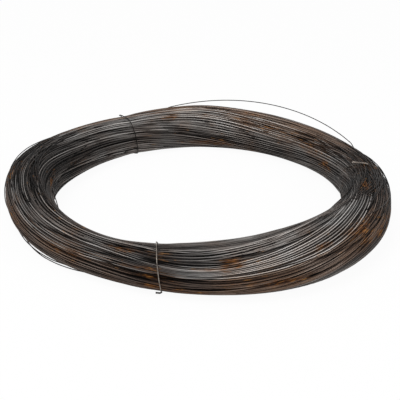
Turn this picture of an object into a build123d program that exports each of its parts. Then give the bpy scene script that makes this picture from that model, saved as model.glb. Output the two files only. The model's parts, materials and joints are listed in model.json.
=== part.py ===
from build123d import *
from math import asin, ceil, cos, degrees, radians, sin
import os

# Coil of black annealed tying wire, lying flat on the floor, in millimetres.
# One long wire is wound into a ring of a few thousand turns and held by three tie wires.
# The Z axis is the axis of the coil's eye, and the floor is the plane z = 0.

# The wound wire and the ring that its turns make
wire_diameter = 1.2
eye_diameter = 384.0
wound_thickness = 58.0  # of the ring, from the wall of the eye to the rim
coil_height = 64.0
inner_shoulder_radius = 20.0
outer_shoulder_radius = 22.0
turn_relief = 0.35  # depth of the valley between two neighbouring turns on the surface

# The tie wires, each a closed loop round the section whose two ends are twisted together
tie_wire_diameter = 1.2
tie_recess = 0.2  # how far a tight tie lies below the turns beside it
tie_seat_gap = 0.2  # between the tie and the turns under it
tie_side_gap = 0.15
leg_diameter = 1.0  # where the two ends leave the loop, nipped together
twist_diameter = 2.2
twist_bend_radius = 1.8
twist_bend_angle = 87.0
twist_surface_gap = 0.4  # between the bent-over twist and the turns
twist_tip_rounding = 0.5

# Each tie's angle round the coil, then the place, the direction and the length of its twist.
# The place is the angle of the section's outward normal there, 0 outwards and 90 upwards.
# The direction turns about that normal, 0 along the coil's rim counter-clockwise, and 90 along
# the tie, up and over towards the eye. The setback moves the twist along the tie from there.
TIES = {
    "tie_wire_front": {
        "angle": -102.0, "twist_normal": -50.0, "twist_direction": 180.0, "twist_length": 9.0,
        "twist_setback": 0.0,
    },
    "tie_wire_back_left": {
        "angle": 119.5, "twist_normal": 45.0, "twist_direction": 0.0, "twist_length": 8.0,
        "twist_setback": 0.0,
    },
    "tie_wire_right": {
        "angle": 8.5, "twist_normal": 90.0, "twist_direction": 90.0, "twist_length": 22.0,
        "twist_setback": 1.5,
    },
}

# The loose turn, a stretch of the coil's own wire that has sprung clear of it over the back.
# It is one arc, from the outer shoulder at its start to the rim at its end.
loose_start_angle = 101.0
loose_start_normal = 27.0
loose_middle_angle = 75.5
loose_middle_rise = 1.6  # from the coil's top to the top of the loose turn, halfway along it
loose_middle_inset = 3.4  # how far inside the coil's rim its middle line lies there
loose_end_angle = 32.5
loose_end_normal = 0.0
loose_seat_gap = 0.3

# The stretches of the section's outline on which no turns show: a peg and a floor bear on them
PLAIN_STRETCHES = ("seat", "eye_wall")

# Places that follow from the sizes above
eye_radius = eye_diameter / 2
rim_radius = eye_radius + wound_thickness
tie_inset = tie_recess + tie_wire_diameter / 2
groove_depth = tie_recess + tie_wire_diameter + tie_seat_gap
groove_half_arc = degrees(asin((tie_wire_diameter / 2 + tie_side_gap) / eye_radius))


def section_plane(angle):
    """The upright plane through the coil's axis at an angle round it, x outwards and y upwards."""
    outwards = Vector(cos(radians(angle)), sin(radians(angle)), 0)
    return Plane(origin=(0, 0, 0), x_dir=outwards, z_dir=outwards.cross(Vector(0, 0, 1)))


def draw_outline(inset):
    """Draw the section's outline, drawn in by inset, and return its curves in order by name."""
    inner_x = eye_radius + inner_shoulder_radius
    outer_x = rim_radius - outer_shoulder_radius
    inner_z = coil_height - inner_shoulder_radius
    outer_z = coil_height - outer_shoulder_radius
    inner_reach = inner_shoulder_radius - inset
    outer_reach = outer_shoulder_radius - inset
    inner_top = CenterArc((inner_x, inner_z), inner_reach, 180, -90)
    outer_top = CenterArc((outer_x, outer_z), outer_reach, 90, -90)
    outer_bottom = CenterArc((outer_x, outer_shoulder_radius), outer_reach, 0, -90)
    inner_bottom = CenterArc((inner_x, inner_shoulder_radius), inner_reach, -90, -90)
    return {
        "inner_top": inner_top,
        "crown": Line(inner_top @ 1, outer_top @ 0),
        "outer_top": outer_top,
        "rim": Line(outer_top @ 1, outer_bottom @ 0),
        "outer_bottom": outer_bottom,
        "seat": Line(outer_bottom @ 1, inner_bottom @ 0),
        "inner_bottom": inner_bottom,
        "eye_wall": Line(inner_bottom @ 1, inner_top @ 0),
    }


def surface_point(normal, lift):
    """Point of the section plane at a lift above the shoulder whose outward normal has that angle."""
    if normal > 90:
        centre = Vector(eye_radius + inner_shoulder_radius, coil_height - inner_shoulder_radius)
        reach = inner_shoulder_radius + lift
    else:
        from_bottom = outer_shoulder_radius if normal < 0 else coil_height - outer_shoulder_radius
        centre = Vector(rim_radius - outer_shoulder_radius, from_bottom)
        reach = outer_shoulder_radius + lift
    return centre + Vector(cos(radians(normal)), sin(radians(normal))) * reach


def twist_plane(tie):
    """Plane on the turns under a tie's twist, x along the twist and y away from the turns."""
    section = section_plane(tie["angle"])
    normal = radians(tie["twist_normal"])
    away = section.x_dir * cos(normal) + section.y_dir * sin(normal)
    over = section.y_dir * cos(normal) - section.x_dir * sin(normal)
    direction = radians(tie["twist_direction"])
    along = over * sin(direction) - section.z_dir * cos(direction)
    foot = section.from_local_coords(surface_point(tie["twist_normal"], 0))
    return Plane(origin=foot + over * tie["twist_setback"], x_dir=along, z_dir=along.cross(away))


def turned_outline():
    """Corners of the section's outline, with a low ridge for each turn of wire that shows on it."""
    with BuildLine(mode=Mode.PRIVATE):
        crests = draw_outline(0)
        valleys = draw_outline(turn_relief)
    corners = []
    for stretch, crest in crests.items():
        valley = valleys[stretch]
        if stretch in PLAIN_STRETCHES:
            corners[-1:] = [crest @ 0, crest @ 1]
            continue
        turns = ceil(crest.length / wire_diameter)
        for i in range(turns):
            corners += [crest @ ((i + 0.5) / turns), valley @ ((i + 1) / turns)]
    return corners


# The wound turns as one turned solid. Its turns show over the top, down the rim and on the lower
# shoulders, while the eye's wall and the face that it rests on are plain. A plain core lies
# under them, which is bare in the narrow groove of each tie.
corners = turned_outline()
with BuildPart() as wire_coil:
    with BuildSketch(Plane.XZ):
        with BuildLine():
            draw_outline(groove_depth)
        make_face()
    revolve(axis=Axis.Z)
    tie_angles = sorted(tie["angle"] for tie in TIES.values())
    for here, after in zip(tie_angles, tie_angles[1:] + [tie_angles[0] + 360]):
        with BuildSketch(section_plane(here + groove_half_arc)):
            with BuildLine():
                Polyline(*corners, close=True)
            make_face()
        revolve(axis=Axis.Z, revolution_arc=after - here - 2 * groove_half_arc)
wire_coil.part.label = "wire_coil"

# The tie wires, each a loop in its groove, with a leg that rises between the turns to its twist
tie_wires = {}
for name, tie in TIES.items():
    with BuildPart() as tie_wire:
        with BuildLine(section_plane(tie["angle"])) as loop_path:
            draw_outline(tie_inset)
        with BuildSketch(Plane(origin=loop_path.line @ 0, z_dir=loop_path.line % 0)):
            Circle(tie_wire_diameter / 2)
        sweep(path=loop_path.line)
        with BuildLine(twist_plane(tie)) as leg_path:
            bend_start = twist_surface_gap + twist_diameter / 2 - twist_bend_radius
            leg = Line((0, -tie_inset), (0, max(bend_start, -tie_recess)))
            bend = JernArc(leg @ 1, leg % 1, twist_bend_radius, -twist_bend_angle)
        with BuildSketch(Plane(origin=leg_path.line @ 0, z_dir=leg_path.line % 0)):
            Circle(leg_diameter / 2)
        sweep(path=leg_path.line)
        with BuildSketch(Plane(origin=leg_path.line @ 1, z_dir=leg_path.line % 1)):
            Circle(twist_diameter / 2)
        extrude(amount=tie["twist_length"])
        tip = (leg_path.line @ 1) + (leg_path.line % 1) * tie["twist_length"]
        fillet(edges().filter_by(GeomType.CIRCLE).sort_by_distance(tip)[0], twist_tip_rounding)
    tie_wire.part.label = name
    tie_wires[name] = tie_wire

# The loose turn, one long arc whose two ends lie on the coil's turns
with BuildPart() as loose_turn:
    seat_lift = loose_seat_gap + wire_diameter / 2
    start_plane = section_plane(loose_start_angle)
    middle_plane = section_plane(loose_middle_angle)
    end_plane = section_plane(loose_end_angle)
    start = start_plane.from_local_coords(surface_point(loose_start_normal, seat_lift))
    middle_height = coil_height + loose_middle_rise - wire_diameter / 2
    middle = middle_plane.from_local_coords(Vector(rim_radius - loose_middle_inset, middle_height))
    end = end_plane.from_local_coords(surface_point(loose_end_normal, seat_lift))
    with BuildLine() as loose_path:
        ThreePointArc(start, middle, end)
    with BuildSketch(Plane(origin=loose_path.line @ 0, z_dir=loose_path.line % 0)):
        Circle(wire_diameter / 2)
    sweep(path=loose_path.line)
loose_turn.part.label = "loose_turn"

os.makedirs("parts", exist_ok=True)
export_step(wire_coil.part, "parts/wire_coil.step")
for name, tie_wire in tie_wires.items():
    export_step(tie_wire.part, f"parts/{name}.step")
export_step(loose_turn.part, "parts/loose_turn.step")
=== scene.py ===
import json
import math

import bpy
import numpy as np
from mathutils import Matrix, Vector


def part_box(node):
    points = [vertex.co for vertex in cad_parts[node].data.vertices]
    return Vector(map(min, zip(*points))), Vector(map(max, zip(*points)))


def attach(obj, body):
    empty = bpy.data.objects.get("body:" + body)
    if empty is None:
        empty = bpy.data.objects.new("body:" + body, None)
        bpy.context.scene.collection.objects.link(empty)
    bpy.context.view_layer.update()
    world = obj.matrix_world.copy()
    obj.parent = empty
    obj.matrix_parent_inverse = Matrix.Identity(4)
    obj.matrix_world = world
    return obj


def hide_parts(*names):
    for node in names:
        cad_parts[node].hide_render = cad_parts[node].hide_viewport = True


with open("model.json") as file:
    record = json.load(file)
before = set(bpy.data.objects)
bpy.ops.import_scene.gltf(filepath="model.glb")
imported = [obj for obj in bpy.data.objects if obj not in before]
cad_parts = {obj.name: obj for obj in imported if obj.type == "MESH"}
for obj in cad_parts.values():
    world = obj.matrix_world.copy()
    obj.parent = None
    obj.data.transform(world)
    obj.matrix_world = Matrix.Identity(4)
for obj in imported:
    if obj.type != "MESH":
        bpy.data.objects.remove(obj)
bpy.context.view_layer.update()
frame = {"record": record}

# The turns inside the ring. Some two thousand turns of soft, black annealed steel wire fell loosely
# on one another as the coil was wound, so the ring is out of round, and higher in some places than
# in others. This piece is the bed of turns that shows between the outermost ones, painted dark as shade.
MM = 0.001
wire_diameter = 1.2 * MM
rim_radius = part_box("wire_coil")[1].x
coil_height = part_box("wire_coil")[1].z
eye_radius = frame["record"]["mounts"][1]["dims"]["r_mm"] * MM
# How far the ring departs from the plain one, in mm, every 30 degrees from +X towards +Y. The rows
# began as a fit to the photograph's outlines, and were then changed to bring the render's
# outlines to them.
rim_swell = [-3, -3.5, -0.5, -2, -3, 3, 9, -1.5, -12.5, 1, 16, 8]
eye_swell = [-8, -5, -2.5, 2.5, 0, -8, -3, 6, 1.5, -3.5, -4, -5.5]
height_swell = [-7.5, -12.5, -7.5, -0.5, -8.5, -4.5, 4.5, -7, -15, -3.5, 5.5, 3]
finest_swell_wave = 12
# The section is between an ellipse, which has a fullness of 2, and a rectangle.
section_fullness = 2.4
bed_depth = 4.2 * MM
stations_round = 240
station_angles = np.arange(stations_round) * 360 / stations_round


def round_the_coil(values):
    """Values at equal steps round the coil, joined up and rounded off into one smooth line."""
    steps = np.arange(len(values)) * 360 / len(values)
    waves = np.fft.rfft(np.interp(station_angles, steps, values, period=360))
    waves *= np.exp(-((np.arange(len(waves)) / finest_swell_wave) ** 2))
    return np.fft.irfft(waves, stations_round) * MM


rim_line = rim_radius + round_the_coil(rim_swell)
eye_line = eye_radius + round_the_coil(eye_swell)
height_line = coil_height + round_the_coil(height_swell)


def ring_at(angle):
    """The ring's outer radius, its inner radius and its height at angles round the coil."""
    lines = (rim_line, eye_line, height_line)
    return [np.interp(angle, station_angles, line, period=360) for line in lines]


def on_the_ring(angle, around, lift):
    """Points on the ring, and the directions across the turns and out of the ring there.

    angle goes round the coil and around goes round its section, both in degrees: around is 0 at
    the rim, 90 on top, 180 at the eye and 270 on the floor.
    """
    angle, around, lift = np.broadcast_arrays(*(np.asarray(v, float) for v in (angle, around, lift)))
    rim, eye, height = ring_at(angle)
    half_width, half_height = (rim - eye) / 2, height / 2
    cos, sin = np.cos(np.radians(around)), np.sin(np.radians(around))
    reach = (np.abs(cos) ** section_fullness + np.abs(sin) ** section_fullness) ** (-1 / section_fullness)
    out_r = np.sign(cos) * np.abs(cos * reach) ** (section_fullness - 1) / half_width
    out_z = np.sign(sin) * np.abs(sin * reach) ** (section_fullness - 1) / half_height
    size = np.hypot(out_r, out_z)
    out_r, out_z = out_r / size, out_z / size
    r = (rim + eye) / 2 + half_width * reach * cos + lift * out_r
    z = half_height + half_height * reach * sin + lift * out_z
    turn_cos, turn_sin = np.cos(np.radians(angle)), np.sin(np.radians(angle))

    def place(radial, upright):
        return np.stack([radial * turn_cos, radial * turn_sin, upright], axis=-1)

    return place(r, z), place(-out_z, out_r), place(out_r, out_z)


def linear(hex_colour):
    """An sRGB hex colour as the linear colour that a shader takes."""
    parts = [int(hex_colour[i:i + 2], 16) / 255 for i in (1, 3, 5)]
    return [c / 12.92 if c <= 0.04045 else ((c + 0.055) / 1.055) ** 2.4 for c in parts] + [1.0]


def add_node(tree, kind, settings=None, *values, **named):
    """Adds one node. values go to its sockets in order, and named ones to the sockets of that name.

    A plain value is set on its socket, and a socket of another node is linked to it. A name such
    as _6 is the socket of that number.
    """
    node = tree.nodes.new(kind)
    for name, value in (settings or {}).items():
        setattr(node, name, value)
    sockets = dict(enumerate(values))
    for name, value in named.items():
        sockets[int(name[1:]) if name[1:].isdigit() else name.replace("_", " ")] = value
    for key, value in sockets.items():
        if isinstance(value, bpy.types.NodeSocket):
            tree.links.new(value, node.inputs[key])
        else:
            node.inputs[key].default_value = value
    return node


def new_finish(name):
    """A material with its shader, ready for the nodes of one finish."""
    finish = bpy.data.materials.new(name)
    finish.use_nodes = True
    return finish, finish.node_tree, finish.node_tree.nodes["Principled BSDF"]


def ramp(tree, amount, stops):
    """A colour ramp over an amount from another node, with (place, hex colour) stops."""
    node = add_node(tree, "ShaderNodeValToRGB", Fac=amount)
    band = node.color_ramp
    while len(band.elements) < len(stops):
        band.elements.new(0.5)
    for element, (place, colour) in zip(band.elements, stops):
        element.position = place
        element.color = linear(colour)
    return node.outputs["Color"]


def make_piece(name, points, faces):
    """A plain mesh object from numpy points and faces, smooth shaded."""
    mesh = bpy.data.meshes.new(name)
    mesh.from_pydata(points.reshape(-1, 3).tolist(), [], faces)
    mesh.polygons.foreach_set("use_smooth", [True] * len(mesh.polygons))
    piece = bpy.data.objects.new(name, mesh)
    bpy.context.scene.collection.objects.link(piece)
    return piece


def add_mark(piece, name, values):
    """Writes one number for each point of a piece, for its finish to read."""
    layer = piece.data.attributes.new(name, "FLOAT", "POINT")
    layer.data.foreach_set("value", values.astype(np.float32))


def settle(piece, finish):
    """Gives a finished piece its material and its place on the body."""
    piece.data.materials.clear()
    piece.data.materials.append(finish)
    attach(piece, "root")


bed_columns, bed_rows = 240, 72
section_perimeter = 205 * MM
columns, rows = np.meshgrid(np.arange(bed_columns), np.arange(bed_rows), indexing="ij")
bed_points = on_the_ring(columns * 360 / bed_columns, rows * 360 / bed_rows, -bed_depth)[0]
bed_faces = []
for i in range(bed_columns):
    for j in range(bed_rows):
        ahead, above = (i + 1) % bed_columns, (j + 1) % bed_rows
        corners = ((i, j), (ahead, j), (ahead, above), (i, above))
        bed_faces.append([column * bed_rows + row for column, row in corners])
inner_turns = make_piece("inner_turns", bed_points, bed_faces)

# Painted shade: the same black annealed wire, deep between the turns, where hardly any light falls
# on it, painted near black. A line for each turn runs round the coil, one wire diameter from the next,
# a little lighter along its crest as painted light.
painted_shade_bed, tree, shader = new_finish("inner_turns_in_shadow")
line_phase = add_node(tree, "ShaderNodeAttribute", {"attribute_name": "round_section"}).outputs["Fac"]
bed_lines = add_node(tree, "ShaderNodeMath", {"operation": "SINE"}, line_phase).outputs[0]
bed_colour = ramp(tree, bed_lines, [(0.0, "#050404"), (1.0, "#1b1816")])
tree.links.new(bed_colour, shader.inputs["Base Color"])
shader.inputs["Metallic"].default_value = 0.3
shader.inputs["Roughness"].default_value = 0.7
lines_round = section_perimeter / wire_diameter
add_mark(inner_turns, "round_section", rows.ravel() / bed_rows * 2 * math.pi * lines_round)
settle(inner_turns, painted_shade_bed)
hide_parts("wire_coil")

# The outermost turns, laid in hanks that cross one another at small angles, as the wire fell.
# Each hank is a band of wires side by side: round wire, wandering a little, and packed closely.
# Drawn mild steel, softened in a closed pot, which leaves a thin blue-black scale.
turn_steps = 144
segment_angles = np.arange(turn_steps) * 360 / turn_steps
finest_guide_wave = 10
# Each tie presses the turns together for a few degrees either way.
tie_angles = (-102.0, 119.5, 7.0)
tie_pinch = 1.9 * MM
tie_pinch_reach = 3.5

# The scale is dull and dark, with a soft sheen along each turn, and lighter where turns have
# rubbed. Damp has browned it in streaks that follow the turns, with brighter orange specks.
annealed, tree, shader = new_finish("black_annealed_steel_wire")
streak_length = 60 * MM
speck_length = 13 * MM
bloom_size = 45 * MM
own_shift = 40.0
multiply_add = {"operation": "MULTIPLY_ADD"}
multiply_add_in_range = {"operation": "MULTIPLY_ADD", "use_clamp": True}
at = add_node(tree, "ShaderNodeTexCoord").outputs["Object"]
# Painted shade comes in through these marks too: turn_mark is darker on sunk turns, and the wear mark is
# darker in the grooves, on the lower layer and over some stretches.
turn_mark, damp, wear_and_shade, brown = (
    add_node(tree, "ShaderNodeAttribute", {"attribute_name": name}).outputs["Fac"]
    for name in ("turn_mark", "damp", "wear_and_shade", "brown")
)
# Each turn reads the patterns from a place of its own, so that streaks and specks end at its edge.
own_at = add_node(tree, "ShaderNodeCombineXYZ", X=turn_mark, Y=turn_mark).outputs[0]
own_at = add_node(tree, "ShaderNodeVectorMath", {"operation": "SCALE"}, own_at, Scale=own_shift).outputs[0]
own_at = add_node(tree, "ShaderNodeVectorMath", {"operation": "ADD"}, at, own_at).outputs[0]
streak, speck, bloom = (
    add_node(tree, "ShaderNodeTexNoise", Vector=place, Scale=1 / size, Detail=2.0).outputs["Fac"]
    for place, size in ((own_at, streak_length), (own_at, speck_length), (at, bloom_size))
)
tone = add_node(tree, "ShaderNodeMath", multiply_add, turn_mark, 0.85, wear_and_shade).outputs[0]
tone = add_node(tree, "ShaderNodeMath", multiply_add, streak, 0.3, tone).outputs[0]
scale_colour = ramp(tree, tone, [
    (0.25, "#050505"), (0.45, "#161515"), (0.60, "#403e3d"), (0.76, "#7d7b79"), (0.95, "#c2bfbc"),
])
brown_colour = ramp(tree, tone, [
    (0.25, "#060403"), (0.45, "#1a130f"), (0.60, "#3f3129"), (0.76, "#705c4f"), (0.95, "#a38e7e"),
])
bloomed = add_node(tree, "ShaderNodeMath", multiply_add_in_range, bloom, 1.6, -0.6).outputs[0]
brown = add_node(tree, "ShaderNodeMath", {"operation": "ADD", "use_clamp": True}, brown, bloomed).outputs[0]
brown = add_node(tree, "ShaderNodeMath", multiply_add_in_range, damp, 2.0, brown).outputs[0]
scale_colour = add_node(
    tree, "ShaderNodeMix", {"data_type": "RGBA"}, Factor=brown, _6=scale_colour, _7=brown_colour,
).outputs[2]
rust_amount = add_node(tree, "ShaderNodeMath", multiply_add, bloom, 0.6, damp).outputs[0]
rust_amount = add_node(tree, "ShaderNodeMath", multiply_add, speck, 0.9, rust_amount).outputs[0]
rust_share = add_node(
    tree, "ShaderNodeMapRange", Value=rust_amount, From_Min=0.92, From_Max=1.2, To_Min=0.0, To_Max=0.8,
).outputs["Result"]
rust_colour = ramp(tree, speck, [
    (0.38, "#1c120c"), (0.49, "#4a2e1b"), (0.60, "#8a5a30"), (0.76, "#c18a4a"),
])
coat = add_node(
    tree, "ShaderNodeMix", {"data_type": "RGBA"}, Factor=rust_share, _6=scale_colour, _7=rust_colour,
).outputs[2]
tree.links.new(coat, shader.inputs["Base Color"])
# Steel shows through where the scale is worn, and rust hides it and is rougher than both.
bare_share = add_node(
    tree, "ShaderNodeMapRange", Value=tone, From_Min=0.4, From_Max=0.9, To_Min=0.05, To_Max=0.6,
).outputs["Result"]
unrusted = add_node(
    tree, "ShaderNodeMath", {"operation": "SUBTRACT", "use_clamp": True}, 1.0, rust_share,
).outputs[0]
metal_share = add_node(tree, "ShaderNodeMath", {"operation": "MULTIPLY"}, bare_share, unrusted).outputs[0]
tree.links.new(metal_share, shader.inputs["Metallic"])
roughness = add_node(
    tree, "ShaderNodeMapRange", Value=rust_share, From_Min=0.0, From_Max=0.85, To_Min=0.42, To_Max=0.75,
).outputs["Result"]
tree.links.new(roughness, shader.inputs["Roughness"])
shader.inputs["Specular IOR Level"].default_value = 0.05

# Rust stands where damp was held: (angle round the coil, angle round the section, length round
# the coil in degrees, width round the section in degrees, strength).
damp_places = [
    (-138, 2, 5, 12, 0.40), (-129, 10, 4, 12, 0.40), (-112, 64, 8, 10, 0.27), (-107, 22, 5, 6, 0.40),
    (-106, 0, 5, 7, 0.40), (-104, -28, 4, 7, 0.38), (-88, 26, 4, 4, 0.38), (-82, 42, 3, 5, 0.42),
    (-81, 32, 2.5, 4, 0.54), (-56, 38, 2.5, 5, 0.50), (-69, -16, 8, 7, 0.40), (-41, 40, 8, 16, 0.26),
    (-30, 6, 14, 20, 0.22), (-15, 96, 8, 14, 0.20), (23, 170, 6, 14, 0.30), (40, 150, 8, 16, 0.22),
    (-175, 146, 8, 14, 0.30), (104, 128, 4, 10, 0.38), (87, 210, 10, 10, 0.36), (70, 98, 4, 6, 0.36),
    (60, 130, 14, 14, 0.20), (-160, 0, 8, 20, 0.18), (-92, -34, 12, 8, 0.26),
]
# Stretches painted darker as shade, with how much darker each is in place of its strength. At the two ends
# the turns run towards the camera and catch less light.
painted_shade_places = [
    (180, 90, 42, 120, 0.25), (0, 70, 34, 120, 0.17), (-104, 30, 16, 70, 0.25), (120, 60, 30, 60, 0.05),
    (-128, 50, 16, 80, 0.05), (-16, 104, 13, 34, 0.14), (-42, 44, 9, 14, 0.05),
]
# The grooves between the hanks that show most, each a line of (angle round the coil, angle round
# the section) places. The turns lie deeper there, and are painted darker as shade.
grooves = [
    [(-150, 36), (-132, 50), (-119, 70), (-104, 74)],
    [(-126, 32), (-117, 40), (-102, 38), (-88, 34)],
    [(-112, -6), (-90, 2), (-84, 9), (-68, 21), (-54, 19), (-40, 20), (-28, 30)],
    [(-90, 66), (-79, 79), (-65, 90), (-50, 106)],
    [(119, 153), (109, 168), (91, 188), (73, 203), (58, 205), (40, 196)],
    [(121, 172), (141, 165), (156, 171), (168, 176)],
    [(12, 78), (7, 80), (-4, 84), (-19, 73), (-28, 60)],
    [(-146, 6), (-124, 0), (-106, -8)],
    [(-92, -26), (-74, -22), (-56, -12), (-40, 2)],
    [(-76, 50), (-62, 66), (-48, 88)],
    [(150, 120), (132, 128), (118, 132), (104, 140)],
    [(146, 84), (126, 92), (106, 100), (84, 124)],
    [(70, 128), (50, 136), (34, 132), (20, 118)],
    [(84, 98), (62, 118), (44, 116), (26, 100)],
    [(196, 90), (184, 96), (172, 100), (160, 100)],
    [(204, 60), (192, 62), (180, 66), (166, 74)],
    [(-158, 110), (-142, 104), (-126, 104)],
]
groove_depth = 1.7 * MM
groove_half_width = 2.3
groove_run_out = 6
groove_painted_shade = 0.16


def positions_of(mesh):
    """The points of a mesh as a numpy array."""
    values = np.empty(len(mesh.vertices) * 3, np.float32)
    mesh.vertices.foreach_get("co", values)
    return values.reshape(-1, 3)


def angles_of(positions):
    """The angles round the coil and round its section of points that lie on the ring or near it."""
    angle = np.degrees(np.arctan2(positions[:, 1], positions[:, 0]))
    rim, eye, height = ring_at(angle)
    radial = (np.hypot(positions[:, 0], positions[:, 1]) - (rim + eye) / 2) / ((rim - eye) / 2)
    upright = (positions[:, 2] - height / 2) / (height / 2)
    return angle, np.degrees(np.arctan2(upright, radial))


def apart(angle, other):
    """How far one angle is from another, from -180 to 180 degrees."""
    return (angle - other + 180) % 360 - 180


def within(patch, angle, around):
    """How far into a damp or dull place each point lies, from 0 to the place's strength."""
    place, section_place, length, width, strength = patch
    along = apart(angle, place) / length
    across = apart(around, section_place) / width
    return strength * np.exp(-along ** 2 - across ** 2)


def in_grooves(angle, around):
    """How far into one of the grooves each point lies, from 0 to 1."""
    depth = np.zeros(len(angle))
    for line in grooves:
        places = np.array(line, float)
        first = places[0, 0]
        run = apart(places[:, 0], first)
        here = apart(angle, first)
        order = np.argsort(run)
        middle = np.interp(here, run[order], places[order, 1])
        past = np.maximum(np.maximum(run.min() - here, here - run.max()), 0) / groove_run_out
        across = apart(around, middle) / groove_half_width
        depth = np.maximum(depth, np.exp(-across ** 2 - past ** 2))
    return depth


def press_grooves(piece):
    """Sinks the turns of a piece in the grooves."""
    positions = positions_of(piece.data).astype(float)
    angle, around = angles_of(positions)
    outward = on_the_ring(angle % 360, around, 0)[2]
    positions -= outward * (groove_depth * in_grooves(angle, around))[:, None]
    piece.data.vertices.foreach_set("co", positions.astype(np.float32).ravel())
    piece.data.update()


def rust_and_shade(piece):
    """Rusts a piece of black annealed wire in the damp places, and paints shade on it in the grooves and over
    the darker stretches.
    """
    angle, around = angles_of(positions_of(piece.data))
    damp = np.zeros(len(angle))
    for patch in damp_places:
        damp = np.maximum(damp, within(patch, angle, around))
    add_mark(piece, "damp", damp)
    wear_and_shade = np.empty(len(angle), np.float32)
    piece.data.attributes["wear_and_shade"].data.foreach_get("value", wear_and_shade)
    wear_and_shade -= groove_painted_shade * in_grooves(angle, around).astype(np.float32)
    for patch in painted_shade_places:
        wear_and_shade -= within(patch, angle, around).astype(np.float32)
    piece.data.attributes["wear_and_shade"].data.foreach_set("value", wear_and_shade)


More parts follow.
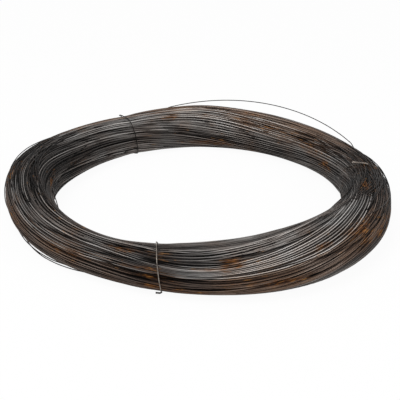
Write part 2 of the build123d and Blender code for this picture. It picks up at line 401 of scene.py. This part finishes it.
def build_wire_tree():
    """Geometry Nodes tree that lays the turns of one hank along its guide line."""
    tree = bpy.data.node_groups.new("lay_turns", "GeometryNodeTree")
    sockets = [
        ("Guide", "Geometry", None), ("Turns", "Int", 12), ("Wire Diameter", "Float", 0.0012),
        ("Width", "Float", 0.02), ("Depth", "Float", 0.001), ("Crown", "Float", 0.0),
        ("Wander", "Float", 0.001), ("Wander Length", "Float", 0.07), ("Seed", "Int", 1),
        ("Sway", "Float", 0.0), ("Sway Length", "Float", 0.1), ("Bunch", "Float", 0.0),
        ("Worn", "Float", 0.0), ("Brown", "Float", 0.0), ("Closed", "Bool", True),
        ("Sides", "Int", 5), ("Material", "Material", None),
    ]
    for name, kind, value in sockets:
        socket = tree.interface.new_socket(name=name, in_out="INPUT", socket_type="NodeSocket" + kind)
        if value is not None:
            socket.default_value = value
    tree.interface.new_socket(name="Turns", in_out="OUTPUT", socket_type="NodeSocketGeometry")
    given = tree.nodes.new("NodeGroupInput").outputs
    guide, diameter = given["Guide"], given["Wire Diameter"]
    number, vector = "ShaderNodeMath", "ShaderNodeVectorMath"
    of_vectors, of_numbers = {"data_type": "FLOAT_VECTOR"}, {"data_type": "FLOAT"}
    add, subtract, multiply, divide, multiply_then_add, floor, modulo, power, absolute, scale = (
        {"operation": operation} for operation in (
            "ADD", "SUBTRACT", "MULTIPLY", "DIVIDE", "MULTIPLY_ADD",
            "FLOOR", "MODULO", "POWER", "ABSOLUTE", "SCALE",
        )
    )

    def new(kind, settings=None, *values, **named):
        return add_node(tree, kind, settings, *values, **named).outputs[0]

    def of_guide(name, step):
        value = new("GeometryNodeInputNamedAttribute", of_vectors, Name=name)
        return new("GeometryNodeSampleIndex", of_vectors, Geometry=guide, Value=value, Index=step)

    # One point for each step of each turn.
    steps = add_node(tree, "GeometryNodeAttributeDomainSize", Geometry=guide).outputs["Point Count"]
    index = new("GeometryNodeInputIndex")
    turn = new(number, floor, new(number, divide, new(number, add, index, 0.5), steps))
    step = new(number, subtract, index, new(number, multiply, turn, steps))
    points = new("GeometryNodePoints", Count=new(number, multiply, given["Turns"], steps))
    position = new("GeometryNodeInputPosition")
    centre = new("GeometryNodeSampleIndex", of_vectors, Geometry=guide, Value=position, Index=step)

    # The chances of each turn, and of each bunch of two or three turns that keep together.
    turns_a_bunch = 2.6
    bunch = new(number, floor, new(number, divide, turn, turns_a_bunch))
    chance = {}
    for name, shift, who in (
        ("place", 11, turn), ("depth", 23, turn), ("mark", 37, turn),
        ("bunch_place", 51, bunch), ("bunch_mark", 67, bunch),
    ):
        seed = new(number, add, given["Seed"], shift)
        chance[name] = add_node(tree, "FunctionNodeRandomValue", of_numbers, ID=who, Seed=seed).outputs[1]

    # Where the turn lies across the hank, from -0.5 to 0.5 of its width.
    play = 0.6
    jitter = new(number, multiply_then_add, chance["place"], play, -play / 2)
    nudge = new(number, multiply, new(number, subtract, chance["bunch_place"], 0.5), given["Bunch"])
    jitter = new(number, add, jitter, nudge)
    place = new(number, add, new(number, add, turn, 0.5), jitter)
    place = new(number, subtract, new(number, divide, place, given["Turns"]), 0.5)

    # Each turn wanders by itself, and the whole hank sways. Noise keeps within about a quarter of its
    # middle value, so full_swing makes its swing about 1.
    full_swing = 4.0
    apart_in_noise = 3.7
    own_noise = new(number, multiply, turn, apart_in_noise)
    own_noise = new("ShaderNodeCombineXYZ", X=own_noise, Y=given["Seed"], Z=0.0)
    swing_at = new(vector, scale, centre, Scale=new(number, divide, 1.0, given["Wander Length"]))
    swing_at = new(vector, add, swing_at, own_noise)
    swing = add_node(tree, "ShaderNodeTexNoise", Vector=swing_at, Scale=1.0, Detail=1.0).outputs["Color"]
    swing = new(vector, subtract, swing, (0.5, 0.5, 0.5))
    swing = add_node(tree, "ShaderNodeSeparateXYZ", Vector=swing).outputs
    sway_at = new(vector, add, centre, new("ShaderNodeCombineXYZ", X=0.0, Y=0.0, Z=given["Seed"]))
    sway_at = new(vector, scale, sway_at, Scale=new(number, divide, 1.0, given["Sway Length"]))
    sway = add_node(tree, "ShaderNodeTexNoise", Vector=sway_at, Scale=1.0, Detail=1.0).outputs["Fac"]
    sway = new(number, multiply, new(number, subtract, sway, 0.5), full_swing)
    sway = new(number, multiply, sway, given["Sway"])
    sideways = new(number, multiply, new(number, multiply, swing[0], full_swing), given["Wander"])
    sideways = new(number, multiply_then_add, place, given["Width"], new(number, add, sideways, sway))

    # The hank bends over the ring, sinks at its edges, and has every other turn half a wire deeper.
    edge_sharpness = 4.0
    bob_swing = 1.6
    bend = add_node(tree, "ShaderNodeSeparateXYZ", Vector=of_guide("bend", step)).outputs[0]
    bend = new(number, multiply, bend, -0.5)
    sag = new(number, multiply, new(number, multiply, sideways, sideways), bend)
    edge = new(number, power, new(number, absolute, new(number, multiply, place, 2.0)), edge_sharpness)
    sag = new(number, subtract, sag, new(number, multiply, edge, given["Crown"]))
    sink = new(number, multiply, given["Depth"], -1.0)
    rise = new(number, add, sag, new(number, multiply, chance["depth"], sink))
    bob = new(number, multiply, new(number, multiply, swing[1], bob_swing), given["Depth"])
    rise = new(number, add, rise, bob)
    sunk = new(number, modulo, turn, 2.0)
    rise = new(number, add, rise, new(number, multiply, sunk, new(number, multiply, diameter, -0.5)))
    offset = new(vector, scale, of_guide("across", step), Scale=sideways)
    offset = new(vector, add, offset, new(vector, scale, of_guide("outward", step), Scale=rise))
    points = new("GeometryNodeSetPosition", Geometry=points, Position=new(vector, add, centre, offset))

    # What the finish reads: a mark of the turn's own, painted lower on a sunk one as its shade, and how worn
    # or shaded and how brown it is.
    darkest_mark, own_range, bunch_range, sunk_turn_painted_shade = 0.49, 0.22, 0.22, 0.42
    own_mark = new(number, multiply, chance["mark"], own_range)
    mark = new(number, multiply_then_add, chance["bunch_mark"], bunch_range, own_mark)
    mark = new(number, multiply_then_add, sunk, -sunk_turn_painted_shade, new(number, add, mark, darkest_mark))
    for name, value in (("turn_mark", mark), ("wear_and_shade", given["Worn"]), ("brown", given["Brown"])):
        on_points = {"data_type": "FLOAT", "domain": "POINT"}
        points = new("GeometryNodeStoreNamedAttribute", on_points, Geometry=points, Name=name, Value=value)

    # Round wires through the points.
    lines = new("GeometryNodePointsToCurves", Points=points, Curve_Group_ID=turn, Weight=step)
    lines = new("GeometryNodeSetSplineCyclic", Geometry=lines, Cyclic=given["Closed"])
    radius = new(number, divide, diameter, 2.0)
    outline = new("GeometryNodeCurvePrimitiveCircle", Resolution=given["Sides"], Radius=radius)
    wires = new("GeometryNodeCurveToMesh", Curve=lines, Profile_Curve=outline, Fill_Caps=True)
    wires = new("GeometryNodeSetShadeSmooth", Geometry=wires, Shade_Smooth=True)
    wires = new("GeometryNodeRealizeInstances", Geometry=wires)
    wires = new("GeometryNodeSetMaterial", Geometry=wires, Material=given["Material"])
    tree.links.new(wires, tree.nodes.new("NodeGroupOutput").inputs[0])
    return tree


lay_turns = build_wire_tree()


def lay_wires(name, centre, across, outward, finish, bend=None, **inputs):
    """Runs the tree on one guide line and returns the plain mesh that it gives."""
    guide = bpy.data.meshes.new(name + "_guide")
    guide.from_pydata(centre.tolist(), [], [])
    bend = np.zeros_like(outward) if bend is None else bend
    for key, values in (("across", across), ("outward", outward), ("bend", bend)):
        layer = guide.attributes.new(key, "FLOAT_VECTOR", "POINT")
        layer.data.foreach_set("vector", values.astype(np.float32).ravel())
    line = bpy.data.objects.new(name + "_guide", guide)
    bpy.context.scene.collection.objects.link(line)
    laid = line.modifiers.new("lay_turns", "NODES")
    laid.node_group = lay_turns
    identifiers = {s.name: s.identifier for s in lay_turns.interface.items_tree if s.in_out == "INPUT"}
    laid[identifiers["Material"]] = finish
    for key, value in inputs.items():
        laid[identifiers[key.replace("_", " ")]] = value
    bpy.context.view_layer.update()
    mesh = bpy.data.meshes.new_from_object(line.evaluated_get(bpy.context.evaluated_depsgraph_get()))
    bpy.data.objects.remove(line)
    bpy.data.meshes.remove(guide)
    return mesh


bend_reach = 12


def hank_mesh(name, path, width, pitch, **inputs):
    """One hank. path holds (angle round the coil, angle round the section, lift in mm) places."""
    stations = np.array([p[0] % 360 for p in path])
    order = np.argsort(stations)

    def joined(values):
        line = np.interp(segment_angles, stations[order], np.array(values, float)[order], period=360)
        waves = np.fft.rfft(line)
        waves *= np.exp(-((np.arange(len(waves)) / finest_guide_wave) ** 2))
        return np.fft.irfft(waves, turn_steps)

    around, lift = joined([p[1] for p in path]), joined([p[2] for p in path]) * MM
    spread = joined([p[3] if len(p) > 3 else 1 for p in path])
    for tie in tie_angles:
        grip = np.exp(-((apart(segment_angles, tie) / tie_pinch_reach) ** 2))
        lift = np.minimum(lift, lift * (1 - grip) - tie_pinch * grip)
    centre, across, outward = on_the_ring(segment_angles, around, lift)
    # How sharply the ring bends across the hank, from the points a little to either side.
    above, below = (
        on_the_ring(segment_angles, around + step, lift)[0] for step in (bend_reach, -bend_reach)
    )
    bend = -((above + below - 2 * centre) * outward).sum(axis=1) / (((above - below) ** 2).sum(axis=1) / 4)
    bend = np.stack([bend * spread ** 2] * 3, axis=1)
    turns = max(1, round(width / pitch))
    across = across * spread[:, None]
    return lay_wires(name, centre, across, outward, annealed, bend, Turns=turns, Width=width * MM, **inputs)


def join_meshes(name, meshes):
    """One object out of several meshes, with the wires' marks kept."""
    pieces = []
    for mesh in meshes:
        piece = bpy.data.objects.new(name, mesh)
        bpy.context.scene.collection.objects.link(piece)
        pieces.append(piece)
    with bpy.context.temp_override(active_object=pieces[0], selected_editable_objects=pieces):
        bpy.ops.object.join()
    pieces[0].name = name
    return pieces[0]


# How far the turns slip round the section on their way round the coil, in degrees.
slip = [
    (-150, -26), (-119, -30), (-102, -46), (-90, -58), (-79, -50), (-65, -36), (-45, -8), (-20, 20),
    (10, 48), (30, 62), (58, 77), (73, 75), (91, 61), (109, 40), (119, 29), (150, 19), (180, 0),
]
slip_angles, slip_ways = np.array(slip, float).T
slip_order = np.argsort(slip_angles % 360)
slip_line = np.interp(segment_angles, (slip_angles % 360)[slip_order], slip_ways[slip_order], period=360)
shallowest_lift, deepest_lift = -0.65, -3.2
chances = np.random.default_rng(11)


def wave(swing):
    """A smooth random line once round the coil, swinging about 0."""
    line = np.zeros(turn_steps)
    for waves in (1, 2, 3, 4):
        size = chances.normal() / waves ** 0.5
        line += size * np.cos(np.radians(segment_angles) * waves + chances.uniform(0, 2 * math.pi))
    return line * swing


def usual_path(offset, swing, lift, lift_swing):
    """The path of a hank that goes with the others, wandering a little across them."""
    around = offset + slip_line + wave(swing)
    height = np.clip(lift + wave(lift_swing), deepest_lift, shallowest_lift)
    return list(zip(segment_angles, around, height))


# Each hank: width in mm, how worn or painted with shade, how brown, and its path as (angle round the
# coil, angle round the section, lift in mm, and how far it fans out, where it does).
hank_count, hank_width, hank_swing = 24, 22, 5.0
hank_lift, hank_lift_swing = -1.3, 0.45
lower_hank_step, lower_hank_width, lower_hank_swing = 30, 18, 4.0
# The lower layer's turns are painted darker as shade, and browned.
lower_layer_painted_shade, lower_brown = -0.26, 0.4
# A hank of this offset runs along the middle of the rim in front. Those from 70 degrees below it to
# 6 above run low there, and they are a little lighter and have browned most.
front_offset = 58
hanks = []
for number in range(hank_count):
    offset = number * 360 / hank_count
    low_in_front = 1.0 if -70 < apart(offset, front_offset) < 6 else 0.0
    wear_and_shade_by = chances.uniform(-0.12, -0.02) + 0.05 * low_in_front
    browned_by = 0.6 * low_in_front + chances.uniform(0.0, 0.2)
    path = usual_path(offset, hank_swing, hank_lift, hank_lift_swing)
    hanks.append((hank_width, wear_and_shade_by, browned_by, path))
lower_layer = []
for offset in range(0, 360, lower_hank_step):
    path = usual_path(offset, lower_hank_swing, deepest_lift, 0.0)
    lower_layer.append((lower_hank_width, lower_layer_painted_shade, lower_brown, path))
ribbons = [
    (28, 0.22, 0.0, [
        (-150, 50, -0.9), (-132, 42, -0.9), (-119, 50, -0.8, 0.75), (-102, 22, -0.7, 0.55),
        (-90, 13, -0.2, 0.5), (-80, 22, 0.2, 0.65), (-68, 37, 0.4, 0.85), (-54, 52, 0.3, 1.2),
        (-40, 76, 0.0, 1.25), (-20, 100, -0.9, 1.0), (0, 112, -1.6), (30, 132, -1.2), (60, 144, -1.0),
        (90, 126, -0.8), (119, 104, -0.9), (150, 96, -0.9), (180, 76, -0.9)]),
    (20, 0.08, 0.1, [
        (-165, 96, -0.9), (-150, 88, -0.5), (-132, 80, -0.3), (-119, 84, -0.3), (-102, 62, -0.6),
        (-90, 50, -0.8), (-79, 64, -1.0), (-65, 84, -1.0), (-45, 112, -1.4), (0, 150, -2.4),
        (60, 186, -2.4), (91, 168, -1.2), (119, 138, -1.0), (150, 130, -1.0), (180, 112, -1.0)]),
    (12, -0.02, 0.3, [
        (-15, 84, 0.2), (-26, 104, 0.2), (-40, 112, -0.4), (-60, 128, -2.4), (-120, 120, -3.0),
        (180, 112, -3.0), (120, 88, -2.4), (60, 66, -1.2), (30, 52, -0.6), (8, 56, -0.4), (0, 66, 0.0)]),
    (7, 0.0, 0.6, [
        (-40, 40, -1.2), (-22, 66, -0.2), (-8, 92, 0.2), (8, 104, -0.2), (30, 116, -1.2),
        (90, 110, -3.0), (180, 40, -3.0), (-100, -20, -3.0), (-60, 10, -2.4)]),
    (6, -0.05, 0.2, [
        (-34, 96, -1.0), (-18, 70, -0.2), (-4, 44, -0.2), (10, 20, -0.8), (30, 0, -2.4),
        (150, 0, -3.0), (-150, 60, -3.0), (-80, 110, -3.0)]),
    (8, -0.02, 0.2, [
        (150, 70, -1.0), (170, 90, -0.2), (-175, 104, 0.0), (-150, 120, -0.8), (-110, 128, -2.4),
        (-40, 150, -3.0), (60, 110, -3.0), (119, 60, -2.0)]),
    (5, -0.05, 0.2, [
        (140, 100, -1.6), (165, 66, -0.3), (-172, 40, -0.2), (-150, 10, -1.2), (-100, -20, -3.0),
        (0, 60, -3.0), (90, 120, -3.0)]),
]
# Real turns lie one wire diameter apart, which is too fine to show in the render. These pitches, in
# mm, are as coarse as the turns need to show.
lower_pitch, upper_pitch = 2.0, 1.6
wander_length, sway, sway_length = 80 * MM, 0.6 * MM, 120 * MM
lower_way = {"Depth": 0.8 * MM, "Crown": 0.0, "Wander": 0.9 * MM, "Bunch": 1.5}
upper_way = {"Depth": 0.5 * MM, "Crown": 0.9 * MM, "Wander": 0.4 * MM, "Bunch": 0.8}
seed = 0
for piece_name, bands, pitch, way in (
    ("turns_below", lower_layer, lower_pitch, lower_way),
    ("turns_of_the_crown", hanks[3:11], upper_pitch, upper_way),
    ("turns_of_the_eye", hanks[11:17], upper_pitch, upper_way),
    ("turns_of_the_seat", hanks[17:21], upper_pitch, upper_way),
    ("turns_of_the_rim", hanks[21:] + hanks[:3], upper_pitch, upper_way),
    ("crossing_turns", ribbons, upper_pitch, upper_way),
):
    meshes = []
    for width, wear_and_shade_by, browned_by, path in bands:
        seed += 1
        meshes.append(hank_mesh(
            piece_name, path, width, pitch, Seed=seed * 7, Wander_Length=wander_length, Sway=sway,
            Sway_Length=sway_length, Wire_Diameter=wire_diameter, Worn=wear_and_shade_by, Brown=browned_by, **way,
        ))
    piece = join_meshes(piece_name, meshes)
    press_grooves(piece)
    rust_and_shade(piece)
    settle(piece, annealed)

# Single turns of the same wire that have sprung a little clear of the ring: (angle round the coil,
# angle round the section, lift in mm), from where each leaves the others to where it runs in under
# them again.
strays = [
    [(179, 2, -2), (173, 22, 1.6), (167, 34, 3.0), (161, 40, 3.0), (154, 45, 1.0), (146, 50, -2)],
    [(-168, -28, -2), (-174, -16, 1.0), (180, 0, 1.8), (174, 18, 1.2), (167, 30, -2)],
    [(-155, -40, -2), (-150, -46, 1.6), (-144, -51, 2.9), (-138, -54, 2.2), (-132, -56, 0.6),
     (-126, -58, -2)],
    [(-161, -32, -2), (-154, -40, 0.8), (-147, -46, 1.4), (-140, -50, 0.6), (-133, -53, -2)],
    [(-14, -32, -2), (-5, -16, 1.6), (3, 10, 2.8), (10, 28, 1.8), (17, 38, -2)],
    [(-9, -10, -2), (0, 12, 1.8), (9, 32, 2.2), (17, 42, 1.0), (24, 50, -2)],
    [(-170, 150, -2), (-163, 166, 1.0), (-156, 176, 1.4), (-148, 184, -2)],
    [(8, 84, -2), (5, 86, 1.0), (0, 90, 1.6), (-6, 96, 1.6), (-13, 102, 0.8), (-19, 106, 0.4),
     (-25, 110, -2)],
]
# Where the ring is slackest, at its two ends, single turns wander over the others. Each end is
# (angle round the coil, reach, lowest and highest section angle, how many turns).
stray_points, stray_places, rounding_passes = 48, 7, 6
shortest_share, most_aside, most_lean, most_bow = 0.55, 14, 22, 12
middle_lift, dive = 0.1, 2.6
for end_angle, reach, low, high, count in ((-4, 34, 30, 140, 26), (176, 34, 20, 150, 20)):
    for _ in range(count):
        start = chances.uniform(low, high)
        half = reach * chances.uniform(shortest_share, 1.0)
        middle_angle = end_angle + chances.uniform(-most_aside, most_aside)
        lean, bow = chances.uniform(-most_lean, most_lean), chances.uniform(-most_bow, most_bow)
        path = []
        for share in np.linspace(-1, 1, stray_places):
            around = start + lean * share + bow * (1 - share ** 2)
            path.append((middle_angle + half * share, around, middle_lift - dive * share ** 6))
        strays.append(path)


def one_wire(name, line, across, outward, finish, **inputs):
    """The mesh of a single wire along a line."""
    return lay_wires(name, line, across, outward, finish, Turns=1, Width=0.0, Depth=0.0, Wander=0.0, **inputs)


meshes = []
for number, path in enumerate(strays):
    angle, around, lift = np.array(path, float).T
    angle = np.degrees(np.unwrap(np.radians(angle)))
    along = np.linspace(0, 1, stray_points)
    places = np.linspace(0, 1, len(path))
    line = [np.interp(along, places, values) for values in (angle, around, lift * MM)]
    for _ in range(rounding_passes):
        line = [np.concatenate([v[:1], (v[:-2] + v[1:-1] + v[2:]) / 3, v[-1:]]) for v in line]
    centre, side, away = on_the_ring(line[0] % 360, line[1], line[2])
    meshes.append(one_wire(
        "stray_turns", centre, side, away, annealed, Closed=False, Sides=8, Wire_Diameter=wire_diameter,
        Seed=number * 3, Worn=-0.22 + 0.04 * (number % 5), Brown=(number % 4) / 6,
    ))
piece = join_meshes("stray_turns", meshes)
rust_and_shade(piece)
settle(piece, annealed)

# The loose turn: a stretch of the coil's own wire that has sprung clear over the back, as one arc.
# Its two ends run on a little past the arc, in under the turns beside them.
loose_start, loose_middle, loose_end = 101.0, 75.5, 32.5
loose_start_normal = 27
loose_middle_inset, loose_middle_rise = 3.4 * MM, 1.0 * MM
loose_seat_lift = 0.9 * MM
shoulder_radius = 22 * MM
# Past the arc, each end turns inwards and down, by these shares of its radius and its height.
loose_run_on = math.radians(7)
inwards_share, down_share, dip_sharpness = 0.035, 0.25, 1.6
loose_points = 140


def at_angle(angle, radius, height):
    """The point at an angle round the coil, a radius and a height."""
    return np.array([radius * math.cos(math.radians(angle)), radius * math.sin(math.radians(angle)), height])


seat_reach = shoulder_radius + loose_seat_lift
first = at_angle(
    loose_start, rim_radius - shoulder_radius + seat_reach * math.cos(math.radians(loose_start_normal)),
    coil_height - shoulder_radius + seat_reach * math.sin(math.radians(loose_start_normal)),
)
middle = at_angle(loose_middle, rim_radius - loose_middle_inset, coil_height + loose_middle_rise)
last = at_angle(loose_end, rim_radius + loose_seat_lift, coil_height - shoulder_radius)
# The arc through the three places.
chord, leg = last - first, middle - first
normal = np.cross(leg, chord)
to_centre = np.cross(normal, leg) * (chord @ chord) + np.cross(chord, normal) * (leg @ leg)
to_centre = to_centre / (2 * normal @ normal)
arc_centre = first + to_centre
arc_radius = np.linalg.norm(to_centre)
axis_x = -to_centre / arc_radius
axis_y = np.cross(normal / np.linalg.norm(normal), axis_x)
spoke = last - arc_centre
sweep = math.atan2(spoke @ axis_y, spoke @ axis_x) % (2 * math.pi)
if sweep > math.pi:
    axis_y, sweep = -axis_y, 2 * math.pi - sweep
turned = np.linspace(-loose_run_on, sweep + loose_run_on, loose_points)
loose_line = arc_centre + arc_radius * (np.outer(np.cos(turned), axis_x) + np.outer(np.sin(turned), axis_y))
past = np.maximum(np.maximum(-turned, turned - sweep), 0) / loose_run_on
loose_line *= 1 - np.outer(past ** dip_sharpness, (inwards_share, inwards_share, down_share))
side = np.tile((0.0, 0.0, 1.0), (loose_points, 1))
loose_mesh = one_wire(
    "loose_turn_wire", loose_line, side, side, annealed, Closed=False, Sides=12,
    Wire_Diameter=wire_diameter, Seed=5, Worn=-0.5,
)
loose = join_meshes("loose_turn_wire", [loose_mesh])
rust_and_shade(loose)
settle(loose, annealed)
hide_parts("loose_turn")

# The tie wires: short lengths of annealed wire pulled tight round the ring, each with its two
# ends twisted together and bent over.
tie_diameter = 1.2 * MM
tie_step = 3.0
twist_radius = 0.56 * MM
twist_pitch = 4.2 * MM
twist_height = 1.1 * MM
twist_rise_length = 2.5 * MM
twist_closing_length = 1.2 * MM
twist_points = 60

# Annealed steel like the coil's. Handling has rubbed some of it to a light grey, in patches a few
# millimetres long, and left the rest in its scale.
tie_finish, tree, shader = new_finish("hand_twisted_tie_wire")
rub_length = 6 * MM
at = add_node(tree, "ShaderNodeTexCoord").outputs["Object"]
wear_and_shade = add_node(tree, "ShaderNodeAttribute", {"attribute_name": "wear_and_shade"}).outputs["Fac"]
rub = add_node(tree, "ShaderNodeTexNoise", Vector=at, Scale=1 / rub_length, Detail=2.0).outputs["Fac"]
in_scale = ramp(tree, rub, [(0.3, "#0b0a09"), (0.5, "#171412"), (0.7, "#35302c")])
rubbed = ramp(tree, rub, [(0.3, "#58504a"), (0.5, "#938980"), (0.7, "#c6bdb2")])
coat = add_node(tree, "ShaderNodeMix", {"data_type": "RGBA"}, Factor=wear_and_shade, _6=in_scale, _7=rubbed).outputs[2]
tree.links.new(coat, shader.inputs["Base Color"])
shader.inputs["Metallic"].default_value = 0.5
shader.inputs["Roughness"].default_value = 0.4
shader.inputs["Specular IOR Level"].default_value = 0.2

# Each tie: its node, how rubbed its loop and its twist are, its loop's (section angle, angle round
# the coil, lift in mm) places, then the section angle of its twist, the direction of its twist,
# which is 0 along the rim counter-clockwise and 90 up and over, and its length in mm.
ties = [
    ("tie_wire_front", 0.62, 0.25, [
        (-60, -101, 0.0), (-25, -100.9, 0.1), (19, -101.5, 0.1), (61, -102.6, 0.2), (120, -104.8, 0.4),
        (180, -105, -0.6), (240, -104, -0.8), (285, -102, -0.8),
    ], -54, 180, 7),
    ("tie_wire_back_left", 0.0, 0.0, [
        (-60, 119.5, -0.6), (56, 119.4, 0.2), (77, 120.4, 0.4), (95, 120, 0.4), (139, 120, 0.4),
        (189, 119, 0.5), (241, 117, -0.8), (285, 119, -0.8),
    ], 56, 0, 4),
    ("tie_wire_right", 0.15, 1.0, [
        (-60, 5.5, -0.8), (0, 5.5, -0.6), (44, 6, 0.4), (73, 7, 0.4), (112, 7.5, 0.2),
        (127, 8, -1.0), (150, 8, -2.4), (240, 7, -2.0), (285, 6, -0.8),
    ], 74, 90, 22),
]
for node, loop_rubbed, twist_rubbed, places, twist_at, heading, length in ties:
    places = sorted((around % 360, angle, lift) for around, angle, lift in places)
    around = np.arange(0, 360, tie_step)
    angle, lift = (
        np.interp(around, [p[0] for p in places], [p[k] for p in places], period=360) for k in (1, 2)
    )
    for _ in range(rounding_passes):
        angle, lift = ((np.roll(v, 1) + 2 * v + np.roll(v, -1)) / 4 for v in (angle, lift))
    loop, _, out = on_the_ring(angle, around, lift * MM)
    meshes = [one_wire(
        node, loop, out, out, tie_finish, Closed=True, Sides=8, Wire_Diameter=tie_diameter, Seed=3,
        Worn=loop_rubbed,
    )]
    twist_angle, foot_lift = (float(np.interp(twist_at % 360, around, v)) for v in (angle, lift))
    foot, over, away = (v[0] for v in on_the_ring([twist_angle], [twist_at], foot_lift * MM))
    rimwards = at_angle(twist_angle + 90, 1.0, 0.0)
    along = over * math.sin(math.radians(heading)) + rimwards * math.cos(math.radians(heading))
    beside = np.cross(away, along)
    run = np.linspace(0, length * MM, twist_points)
    height = twist_height * np.minimum(run / twist_rise_length, 1) ** 0.7
    grip = twist_radius * np.minimum(run / twist_closing_length, 1)
    aside = np.tile(away, (twist_points, 1))
    for strand in (0, 1):
        phase = 2 * math.pi * run / twist_pitch + math.pi * strand
        line = foot + np.outer(run, along) + np.outer(height + grip * np.cos(phase), away)
        line += np.outer(grip * np.sin(phase), beside)
        meshes.append(one_wire(
            node, line, aside, aside, tie_finish, Closed=False, Sides=8, Wire_Diameter=tie_diameter,
            Seed=4, Worn=twist_rubbed,
        ))
    tie = join_meshes(node + "_twisted", meshes)
    settle(tie, tie_finish)
    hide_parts(node)

# The studio: a white floor that keeps the coil's soft shadow, plain soft light, and the camera at
# the photograph's height and distance.
bpy.context.scene.view_settings.view_transform = "Standard"
floor_reach = 3.0
floor_corners = np.array([[-1, -1, 0], [1, -1, 0], [1, 1, 0], [-1, 1, 0]]) * floor_reach
floor = make_piece("floor", floor_corners, [(0, 1, 2, 3)])
# How much of the floor the camera sees as plain white. The rest shows the shadow.
plain_share = 0.95
floor_finish, tree, shader = new_finish("white_floor")
shader.inputs["Base Color"].default_value = linear("#f2f2f2")
shader.inputs["Roughness"].default_value = 0.9
path = add_node(tree, "ShaderNodeLightPath").outputs
plain_white = add_node(tree, "ShaderNodeEmission", Color=(1.0, 1.0, 1.0, 1.0), Strength=1.0).outputs[0]
seen_share = add_node(
    tree, "ShaderNodeMath", {"operation": "MULTIPLY"}, path["Is Camera Ray"], plain_share,
).outputs[0]
mixed = add_node(tree, "ShaderNodeMixShader", None, seen_share, shader.outputs[0], plain_white).outputs[0]
tree.links.new(mixed, tree.nodes["Material Output"].inputs["Surface"])
floor.data.materials.append(floor_finish)

# The world lights the coil softly, and is plain white where the camera or a reflection sees it.
lighting_strength, seen_strength = 0.45, 1.0
world = bpy.data.worlds.new("studio")
world.use_nodes = True
bpy.context.scene.world = world
tree = world.node_tree
background = tree.nodes["Background"]
path = add_node(tree, "ShaderNodeLightPath").outputs
seen = add_node(
    tree, "ShaderNodeMath", {"operation": "MAXIMUM"}, path["Is Camera Ray"], path["Is Glossy Ray"],
).outputs[0]
strength = add_node(
    tree, "ShaderNodeMapRange", Value=seen, From_Min=0.0, From_Max=1.0, To_Min=lighting_strength,
    To_Max=seen_strength,
).outputs["Result"]
background.inputs["Color"].default_value = (1.0, 1.0, 1.0, 1.0)
tree.links.new(strength, background.inputs["Strength"])

# Each soft box: its place and its width in metres, and its power in watts. It faces the coil.
for name, place, size, power in (
    ("soft_box_above", (-0.5, -0.6, 1.9), 1.0, 24.0),
    ("soft_box_right", (1.5, -0.9, 1.1), 0.8, 8.0),
):
    lamp = bpy.data.lights.new(name, "AREA")
    lamp.size = size
    lamp.energy = power
    box = bpy.data.objects.new(name, lamp)
    box.location = place
    x, y, z = -np.array(place)
    box.rotation_euler = (math.atan2(math.hypot(x, y), -z), 0.0, math.atan2(x, -y) + math.pi)
    bpy.context.scene.collection.objects.link(box)

# The camera, fitted to the coil's outer and inner outlines in the photograph. Distances are in
# metres, the rise in degrees, the roll in radians, and the lens and shifts in the photograph's pixels.
camera_distance = 1.6493
camera_rise = 24.63
camera_target = (0.0, 0.0, 0.035)
camera_roll = 0.0053
frame_pixels, focal_pixels = 400, 1246.65
shift_right, shift_down = 0.93, -14.19
camera = bpy.data.cameras.new("camera")
camera.sensor_width = 36.0
camera.lens = focal_pixels / frame_pixels * camera.sensor_width
camera.shift_x = -shift_right / frame_pixels
camera.shift_y = shift_down / frame_pixels
view = bpy.data.objects.new("camera", camera)
view.location = (
    camera_target[0],
    camera_target[1] - camera_distance * math.cos(math.radians(camera_rise)),
    camera_target[2] + camera_distance * math.sin(math.radians(camera_rise)),
)
tilt = Matrix.Rotation(math.radians(90 - camera_rise), 3, "X")
view.rotation_euler = (tilt @ Matrix.Rotation(camera_roll, 3, "Z")).to_euler()
bpy.context.scene.collection.objects.link(view)
bpy.context.scene.camera = view

bpy.context.view_layer.update()
